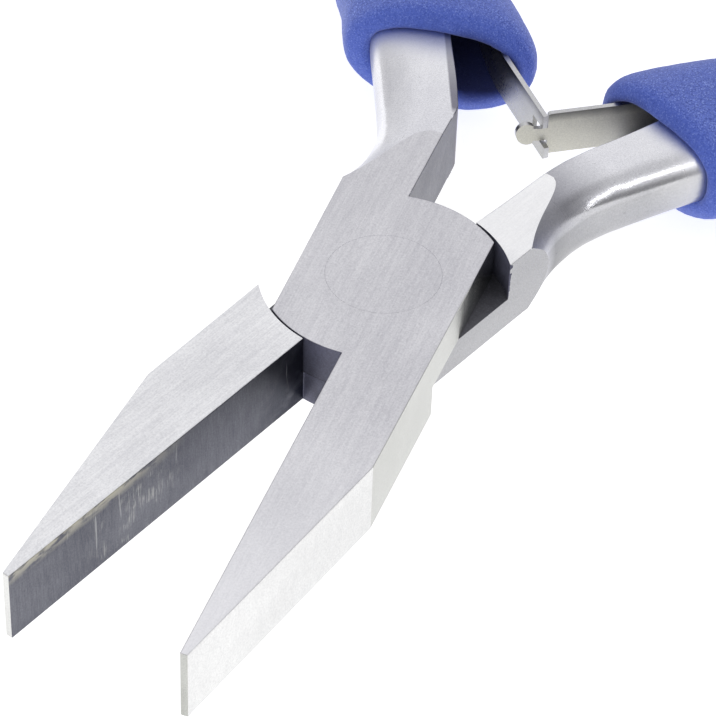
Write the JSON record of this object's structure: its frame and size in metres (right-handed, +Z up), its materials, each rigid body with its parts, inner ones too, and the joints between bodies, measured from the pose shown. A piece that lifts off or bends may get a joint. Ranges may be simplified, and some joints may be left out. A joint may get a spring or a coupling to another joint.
{
  "type": "flat nose pliers",
  "caption": "Small flat nose pliers with a lap joint on a flush rivet, smooth tapering jaws, hooked twin leaf springs and flared foam grips.",
  "frame": {"origin": "on the pivot axis, in the plane of the head's flat underside", "axes": "+Z up along the pivot axis, +Y towards the handles and midway between them, jaws along -Y, +X to the side of the upper half's jaw"},
  "size_m": [0.0744, 0.1244, 0.0115],
  "materials": {
    "forged_steel": "ground head, satin polished handles, dark scratched gripping faces",
    "rivet_steel": "ground flush",
    "spring_steel": "nickel plated strip, warm grey",
    "blue_foam": "matte royal blue foam with a fine light speckle"
  },
  "bodies": {
    "lower_handle": {"lower_half": "forged_steel", "pivot_rivet": "rivet_steel", "tab_spring_rivet": "rivet_steel", "lower_grip": "blue_foam"},
    "upper_handle": {"upper_half": "forged_steel", "fork_spring_rivet": "rivet_steel", "upper_grip": "blue_foam"},
    "fork_leaf": {"fork_spring": "spring_steel"},
    "tab_leaf": {"tab_spring": "spring_steel"}
  },
  "joints": [
    {"name": "pivot", "type": "hinge", "parent": "lower_handle", "child": "upper_handle", "pos_m": [0, 0, 0.0032], "axis": [0, 0, 1], "range_deg": [-19.1, 3], "stiffness_Nm_per_rad": 0.7},
    {"name": "fork_spring_flex", "type": "hinge", "parent": "upper_handle", "child": "fork_leaf", "pos_m": [-0.02005, 0.04806, 0.0032], "axis": [0, 0, 1], "range_deg": [-9, 1.6]},
    {"name": "tab_spring_flex", "type": "hinge", "parent": "lower_handle", "child": "tab_leaf", "pos_m": [0.02005, 0.04806, 0.0032], "axis": [0, 0, -1], "range_deg": [-9, 1.6]}
  ],
  "couplings": [
    {"joint": "fork_spring_flex", "follows": "pivot", "ratio": 0.46},
    {"joint": "tab_spring_flex", "follows": "pivot", "ratio": 0.46}
  ]
}
